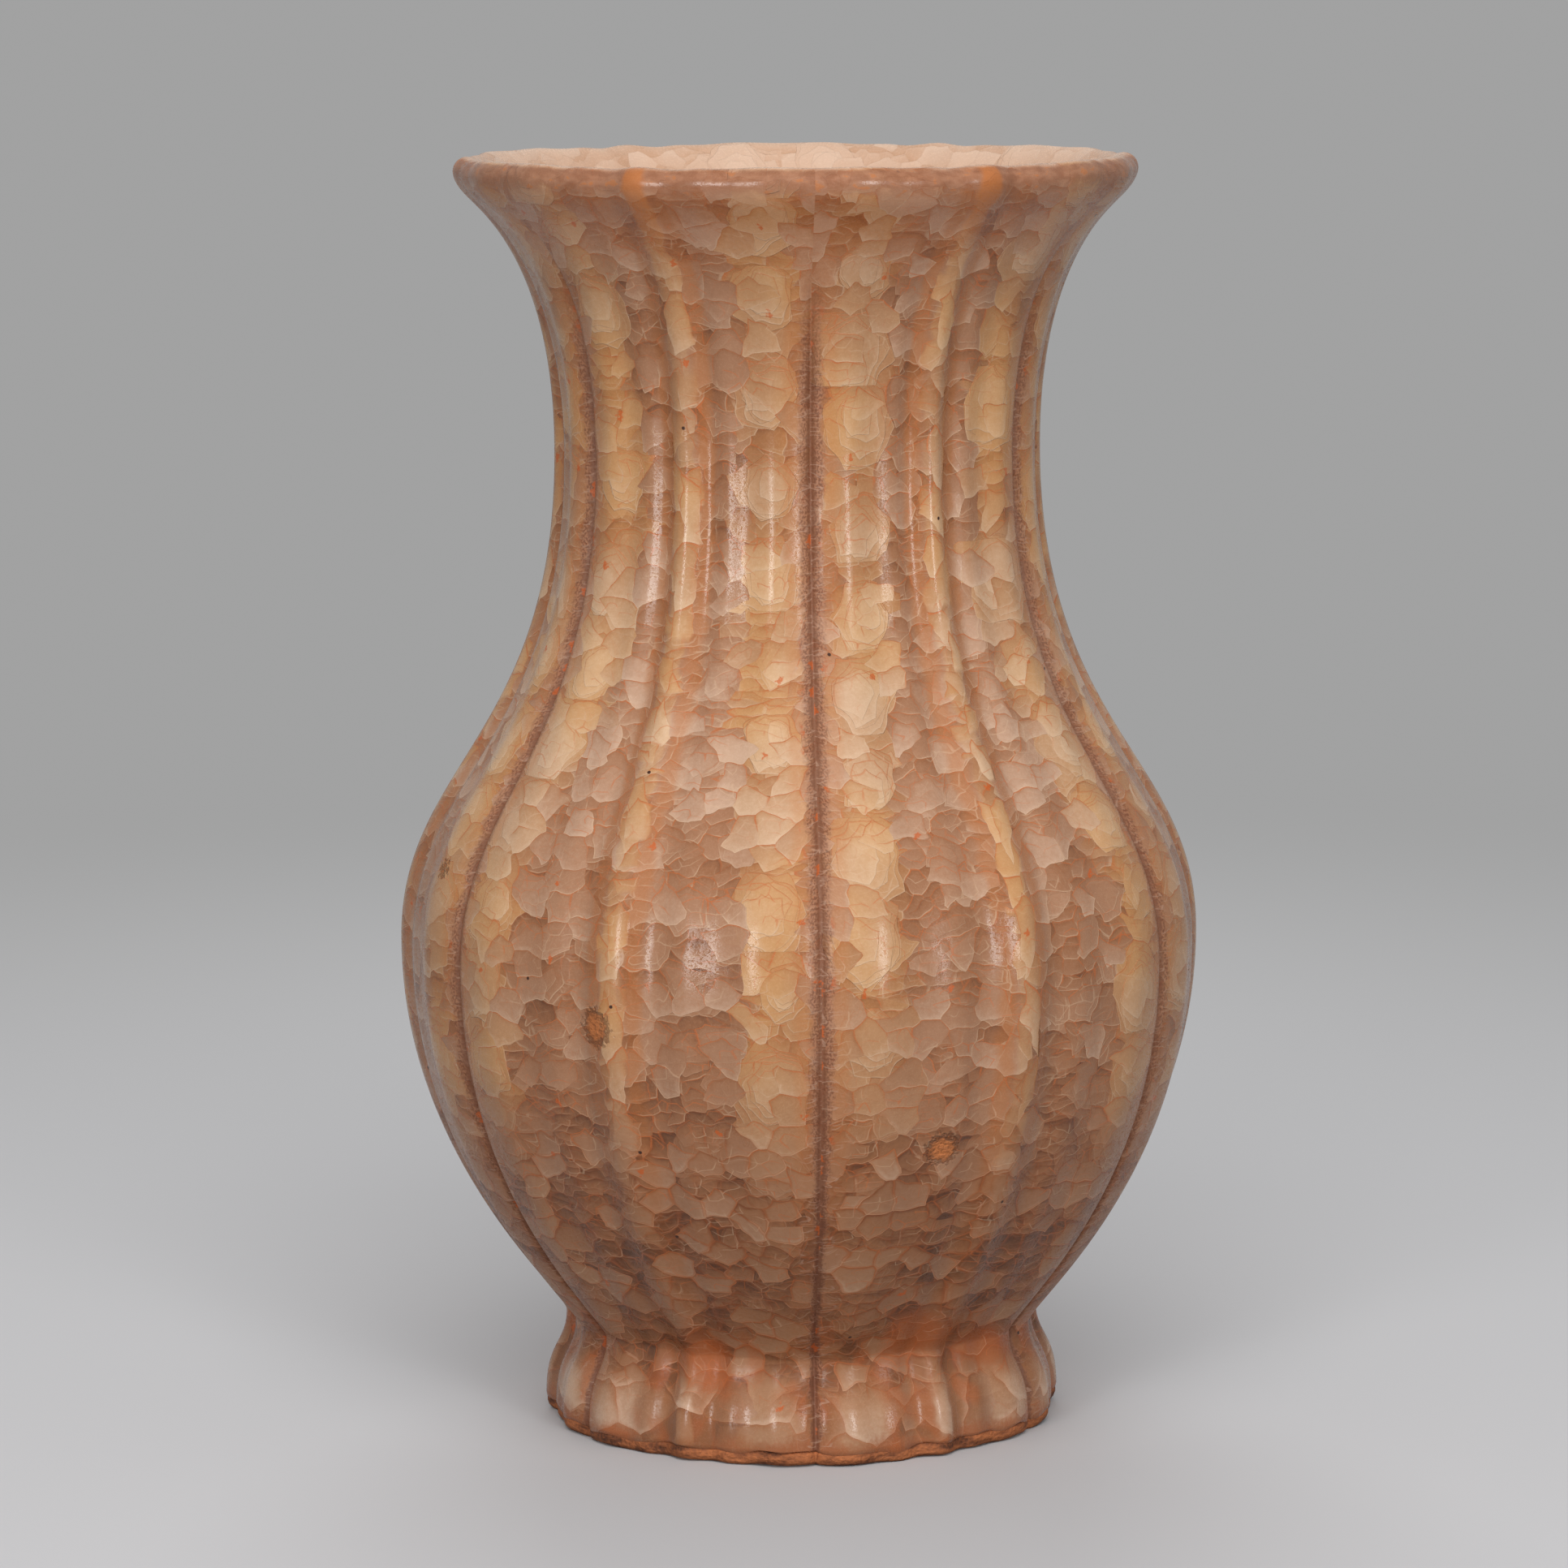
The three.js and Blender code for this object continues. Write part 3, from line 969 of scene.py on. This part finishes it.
def lay_foot(ground, coat):
    """Large soft flakes low on the foot. Then the ribs' yellow fades where the wall has less of it."""
    low = ground.low
    made = ground.lay(*FOOT_FLAKES, seed=21.0)
    low_foot = ground.along.ramp(17, 11)
    coat.lay(made, made["rise"] * 1.5 + 0.52, made["flake"] * low_foot * 0.9)
    coat.ribness = coat.ribness.over(ground.ridge * 0.6)
    coat.ribness = coat.ribness * ground.patch.ramp(0.3, 0.6, 0.6, 1.0) * low.ramp(0, 0.7, 1.0, 0.15)


def shade_coat(ground, coat):
    """How pale the coat is in the end, with painted light and shade: shading of the tilted flakes, shade in
    the valleys where the coat also pools darker, shade at the waist, shade low down over the coat's own
    darker brown, and light on the shoulder and under the lip.
    """
    along, low, foot = ground.along, ground.low, ground.foot
    ground.valley = ground.off_ridge.off(VALLEY_FROM_RIDGE).ramp(3, 0.6)
    ground.bulge = rib_share(ground.from_groove).over(ground.ridge) * foot * along.ramp(1, 4)
    ground.flare = along.ramp(LIP_START - 22, LIP_START - 2)
    painted_waist_shade = along.off(WAIST_ALONG).ramp(9, 1)
    painted_shoulder_light = along.off(SHOULDER_ALONG).ramp(55, 10)
    # Each flake's tilt darkens or lightens it a little, as painted shading; the foot's ribs are paler.
    light = coat.light + coat.relief * 0.15 + ground.bulge * 0.2
    # Low down the coat is its own darker brown and also gets painted shade where the body faces the floor;
    # the waist gets painted shade under the belly.
    light = light * low.ramp(0, 1, 1, 1.35) - low * 0.38 - painted_waist_shade * 0.06
    # The valleys beside the narrow ribs get painted shade, as well as the coat pooled darker there; the
    # shoulder gets painted light, more in the flutes.
    light = light - ground.valley * 0.1 + ground.rough(0.16) + painted_shoulder_light * (coat.ribness * -0.1 + 0.23)
    # Under the lip the flakes are paler and stand out more: painted light against the shade under the flare.
    # The foot is a little darker off its ribs.
    light = light + ground.flare * (light * 0.8 - 0.24) + foot * (ground.bulge * 0.1 - 0.06)
    return (light - coat.gap * low.ramp(0, 1, 0.03, 0.24) * foot.ramp(1, 0)).over(foot * 0.2)


def paint_coat(ground, coat, light):
    """Grey flutes and yellow ribs, warm beside the ribs, and clay showing through at the very foot."""
    colour = blend(shades(light, GREYS), shades(light, YELLOWS), coat.ribness)
    warm = (ground.valley * 0.36).over(ground.from_groove.ramp(*GROOVE_SIDE) * 0.32)
    warm = warm * ground.low.ramp(0, 1, 1, 0.35)
    colour = blend(colour, AMBER, warm.over(ground.flare * 0.3))
    colour = blend(colour, GOLD, coat.ribness * ground.patch.ramp(0.5, 0.66) * 0.22)
    blush = (ground.along + ground.rough(9, ground.mottle) + ground.rough(3)).ramp(5, 0.5)
    return blend(colour, CLAY_BLUSH, blush * 0.8)


def paint_stains(ground, coat, colour):
    """Rust in the hollows of the foot and under the lip."""
    stain = ground.soft(9, 15).ramp(0.5, 0.64) * ground.along.ramp(46, 20) * 0.6
    for angle, height, radius, size in STAINS:
        reach = near_place(ground.place, angle, height, radius)
        reach = reach + ground.rough(12, ground.mottle) + ground.rough(3)
        stain = stain.over(reach.ramp(size, size * 0.3))
    stain = (stain * (ground.bulge * -0.8 + 1)).over(ground.flare * 0.3)
    return blend(colour, RUST_STAIN, stain * (coat.light * -0.4 + 1) * 0.9)


def paint_lines(ground, coat, colour):
    """Pale and rusty crack lines of the flakes, and thinner cracks across them; the pale sides are painted
    reflection.
    """
    low, foot, mottle = ground.low, ground.foot, ground.mottle
    colour = blend(colour, CREAM_EDGE, coat.edge * low.ramp(0, 1, 0.5, 0.48) * foot.ramp(0, 1, 1, 0.35))
    seam = (coat.seam * 0.78).over(coat.gap * low * 0.4)
    colour = blend(colour, RUST_SEAM, seam * foot.ramp(0, 1, 1, 0.4))
    thin = ground.lay(*THIN_FLAKES, seed=13.0)
    colour = blend(colour, CREAM_EDGE, thin["edge"] * mottle.ramp(0.4, 0.55) * foot.ramp(0, 1, 0.36, 0.06))
    return blend(colour, RUST_SEAM, thin["seam"] * mottle.ramp(0.6, 0.45) * foot.ramp(0, 1, 0.6, 0.2))


def paint_grooves(ground, colour):
    """A speckled band along each groove with a dark core of painted shade, and hair cracks across its sides.
    """
    from_groove, bend = ground.from_groove, ground.bend
    upper = ground.along.ramp(LIP_START - 10, LIP_START - 45)
    width = ground.low.ramp(0, 1, 1.0, 0.5)
    wandering = from_groove + ground.rough(2.4, bend[0]) + ground.rough(1.6)
    ground.band = (wandering / width).ramp(3.6, 1.4) * upper
    # The core is painted shade in the bottom of the groove.
    core = (from_groove + ground.rough(1.6, bend[1])).ramp(1.6, 0.2) * upper
    speckle = ground.soft(0.5, 0.6).ramp(0.36, 0.64)
    speckled = blend(GROOVE_DARK, GROOVE_PALE, speckle * (core * -0.9 + 1))
    colour = blend(colour, speckled, ground.band * 0.75)
    hair = ground.lay(*GROOVE_FLAKES, seed=5.0)
    return blend(colour, GROOVE_HAIR, hair["edge"] * from_groove.ramp(5.5, 3.5) * upper * 0.45)


def chosen(near, share):
    """1 in the cells that are kept, by chance."""
    return parts(near.outputs["Color"])[0].math("LESS_THAN", share)


def paint_flecks(ground, colour):
    """Rust flecks in the grooves and here and there on the wall, and dark pinholes."""
    near = cells(vector(ground.from_groove * ground.side / 3, ground.run / 5))
    kept = chosen(near, 0.16)
    in_groove = (Field(near.outputs["Distance"]) + ground.rough(0.7)).ramp(0.3, 0.16) * kept * ground.band
    near = cells(ground.at(22, 26))
    distance = Field(near.outputs["Distance"]) * 24 + ground.rough(3)
    kept = chosen(near, 0.34)
    colour = blend(colour, RUST_FLECK, (distance.ramp(0.9, 0.4) * kept).over(in_groove) * 0.75)
    near = cells(ground.at(30, 30, shift=9))
    kept = chosen(near, 0.3)
    return blend(colour, PINHOLE, (Field(near.outputs["Distance"]) * 30).ramp(0.5, 0.3) * kept)


def paint_scars(ground, colour):
    """Round scars with a dark rim and a rusty core."""
    ground.crater = core = ground.fine * 0
    for angle, height, radius, size in SCARS:
        reach = near_place(ground.place, angle, height, radius) + ground.rough(4)
        ground.crater = ground.crater.over(reach.ramp(size, size * 0.7))
        core = core.over(reach.ramp(size * 0.75, size * 0.4))
    colour = blend(colour, SCAR_RIM, ground.crater * 0.6)
    return blend(colour, SCAR, core * ground.fine.ramp(0.35, 0.6, 0.7, 1.0))


def paint_lip(ground, light, colour):
    """The worn brown lip with orange streaks where the narrow ribs reach it, and the paler coat inside."""
    along = ground.along
    wear = ground.soft(4, 2.4, detail=2.0)
    worn = (along + ground.rough(5, wear)).ramp(LIP_START + 4.5, LIP_START + 8.5)
    lip = worn * (along + (wear - 0.5)).ramp(CROWN + 0.5, CROWN - 1)
    colour = blend(colour, shades(wear.ramp(0.3, 0.7), LIP_SHADES), lip * 0.9)
    streak = ground.off_ridge.ramp(3.4, 1.8) * along.ramp(LIP_START - 12, LIP_START + 4)
    colour = blend(colour, LIP_STREAK, (streak * 0.7).over(wear.ramp(0.64, 0.72) * 0.5 * lip))
    inner = (along + ground.rough(2, wear)).ramp(CROWN - 0.5, CROWN + 2)
    return blend(colour, shades(light * 0.45 + 0.46, LINING_SHADES), inner)


def make_crackle(groups):
    """The outer coat: layers of flakes, beads on the broad ribs, long flakes on the narrow ones."""
    material, tree, shader = new_material("crackle_glaze", 0.25)
    shader.inputs["Specular IOR Level"].default_value = 0.4
    ground = Ground(tree, groups)
    coat = lay_coat(ground, groups)
    lay_ridges(ground, coat)
    lay_foot(ground, coat)
    light = shade_coat(ground, coat)
    colour = paint_coat(ground, coat, light)
    ground.place = object_place(tree)
    colour = paint_stains(ground, coat, colour)
    colour = paint_lines(ground, coat, colour)
    colour = paint_grooves(ground, colour)
    colour = paint_flecks(ground, colour)
    colour = paint_scars(ground, colour)
    put(shader.inputs["Base Color"], paint_lip(ground, light, colour))

    grain = ground.soft(0.6, 0.6)
    ripple = ground.soft(4.5, 6)
    add_bump(tree, shader, grain * 0.016 + ripple * 0.1 + coat.relief - ground.crater * ground.fine * 0.6)
    matt = grain.ramp(0.44, 0.3) * 0.35 + ground.crater * 0.4 + ground.band * 0.3 + ripple * 0.1
    put(shader.inputs["Roughness"], matt + ground.low * ground.foot.ramp(0, 1, 0.16, 0) + 0.16)
    return material


def make_lining(groups):
    """The coat inside and in the foot well: the same crackle, paler and fainter."""
    material, tree, shader = new_material("lining_glaze", 0.3)
    wall = groups["wall"].place(tree)
    run = wall["along"] + wall["sector"] * SECTOR_RUN
    seat = {"across": wall["across"], "along": run, "radius": wall["radius"], "slope": wall["slope"]}
    mottle = cloud(vector(wall["across"] / 14, run / 14), 2.0)[0]
    coat = Coat(mottle.ramp(0.3, 0.7, 0.2, 0.5), mottle)
    for number, (width, height, step, kept, cover, lift) in enumerate(LAYERS[:2]):
        made = groups["flakes"].place(
            tree, **seat, width=width, height=height, step=step, seed=number + 6.0, kept=kept
        )
        coat.lay(made, made["rise"] + lift + 0.2, made["flake"] * cover)
    colour = shades(coat.light, LINING_SHADES)
    colour = blend(colour, LINING_SHADES[-1], coat.edge * 0.5)
    colour = blend(colour, RUST_SEAM, coat.seam * 0.3)
    put(shader.inputs["Base Color"], colour)
    grain = cloud(vector(wall["across"] / 0.8, run / 0.8), 2.0)[0]
    add_bump(tree, shader, grain * 0.02 + coat.light * 0.05)
    put(shader.inputs["Roughness"], mottle * 0.2 + 0.2)
    return material


def make_clay():
    """Bare fired stoneware: orange where it flashed, dark where it was rubbed, and gritty."""
    material, tree, shader = new_material("clay", 0.85)
    x, y, z = object_place(tree)
    flash = cloud(vector(x / 9, y / 9, z / 3), 3.0, "3D")[0]
    grit = cloud(vector(x / 0.9, y / 0.9, z / 0.9), 2.0, "3D")[0]
    tone = flash.ramp(0.36, 0.62) * 0.7 + grit.ramp(0.3, 0.7) * 0.3
    put(shader.inputs["Base Color"], shades(tone, CLAY_SHADES))
    put(shader.inputs["Roughness"], grit * 0.3 + 0.65)
    add_bump(tree, shader, grit * 0.4 + flash * 1.2)
    return material


groups = make_groups()
crackle = make_crackle(groups)
lining = make_lining(groups)
clay = make_clay()

make_exterior_glaze(crackle)
make_interior_glaze(lining)
make_foot_ring(clay)
make_foot_well_glaze(lining)
for name in ("base_slab", "lower_body", "upper_body", "neck_and_mouth"):
    for slot in bpy.data.objects[name].material_slots:
        slot.material = clay

# Photograph's view: camera place, and how far the vase is turned and leans in it.
IMAGE_WIDTH = 1932
FOCAL_LENGTH_PIXELS = 7179
CAMERA_DISTANCE = 1370
CAMERA_HEIGHT = 352
CAMERA_SIDE = -3.65
CAMERA_PITCH = 8.35
VASE_TURN = 2.8
CAMERA_ROLL = 0.29


def make_camera():
    data = bpy.data.cameras.new("photograph_view")
    data.sensor_width = 36
    data.lens = data.sensor_width * FOCAL_LENGTH_PIXELS / IMAGE_WIDTH
    data.clip_start = 0.05
    camera = bpy.data.objects.new("photograph_view", data)
    bpy.context.scene.collection.objects.link(camera)
    turn = Matrix.Rotation(math.radians(-VASE_TURN), 4, "Z")
    place = Matrix.Translation(Vector((CAMERA_SIDE, -CAMERA_DISTANCE, CAMERA_HEIGHT)) * MM)
    tilt = Matrix.Rotation(math.radians(90 - CAMERA_PITCH), 4, "X")
    roll = Matrix.Rotation(math.radians(-CAMERA_ROLL), 4, "Z")
    camera.matrix_world = turn @ place @ tilt @ roll
    bpy.context.scene.camera = camera


def seen_directly(tree):
    """1 where the camera, a reflection or a clear material looks at a surface, 0 where light falls on it."""
    path = tree.nodes.new("ShaderNodeLightPath")
    looks = [Field(path.outputs[kind]) for kind in ("Is Camera Ray", "Is Glossy Ray", "Is Transmission Ray")]
    return looks[0] + looks[1] + looks[2]


BACKDROP = 0.36
FILL = 0.26
FLOOR_PALE = tint(214, 214, 216)
FLOOR_UNSEEN = tint(90, 90, 92)
FLOOR_FADE = (160, 1000)
FLOOR_REACH = 12000


def make_floor():
    """A plain pale floor that fades into the backdrop, and throws back as little light as a dark table."""
    mesh = bmesh.new()
    bmesh.ops.create_grid(mesh, x_segments=1, y_segments=1, size=FLOOR_REACH * MM)
    data = bpy.data.meshes.new("floor")
    mesh.to_mesh(data)
    mesh.free()
    floor = bpy.data.objects.new("floor", data)
    bpy.context.scene.collection.objects.link(floor)
    material, tree, shader = new_material("floor", 0.8)
    seen = seen_directly(tree)
    x, y, _ = object_place(tree)
    far = (x * x + y * y).math("SQRT").ramp(*FLOOR_FADE)
    pale = blend(FLOOR_PALE, tint(0, 0, 0), far)
    put(shader.inputs["Base Color"], blend(FLOOR_UNSEEN, pale, seen))
    shader.inputs["Emission Color"].default_value = (1, 1, 1, 1)
    put(shader.inputs["Emission Strength"], far * seen * BACKDROP)
    put(shader.inputs["Specular IOR Level"], 0.0)
    data.materials.append(material)


# Lamps: name, azimuth to the right of the front, elevation, distance, width, height, power, seen in gloss.
LAMPS = [
    ("left_window", -31, 9, 1500, 320, 560, 5.4, True),
    ("right_window", 25, 9, 1500, 320, 560, 5.2, True),
    ("overhead", 0, 47, 1600, 1100, 1100, 12.2, False),
    ("behind", 180, 35, 1800, 1100, 1100, 12, False),
]


def make_lamp(name, azimuth, elevation, distance, width, height, power, mirrored):
    """A soft panel that faces the middle of the vase."""
    data = bpy.data.lights.new(name, "AREA")
    data.shape = "RECTANGLE"
    data.size = width * MM
    data.size_y = height * MM
    data.energy = power
    lamp = bpy.data.objects.new(name, data)
    bpy.context.scene.collection.objects.link(lamp)
    turn, rise = math.radians(azimuth), math.radians(elevation)
    way = Vector((math.sin(turn) * math.cos(rise), -math.cos(turn) * math.cos(rise), math.sin(rise)))
    lamp.location = (Vector((0, 0, RIM / 2)) + way * distance) * MM
    lamp.rotation_euler = (-way).to_track_quat("-Z", "Y").to_euler()
    lamp.visible_glossy = mirrored


def make_world():
    world = bpy.data.worlds.new("studio")
    bpy.context.scene.world = world
    world.use_nodes = True
    background = world.node_tree.nodes["Background"]
    background.inputs["Color"].default_value = (1, 1, 1, 1)
    put(background.inputs["Strength"], seen_directly(world.node_tree) * (BACKDROP - FILL) + FILL)


make_camera()
make_floor()
make_world()
for lamp in LAMPS:
    make_lamp(*lamp)

bpy.context.scene.view_settings.view_transform = "Standard"
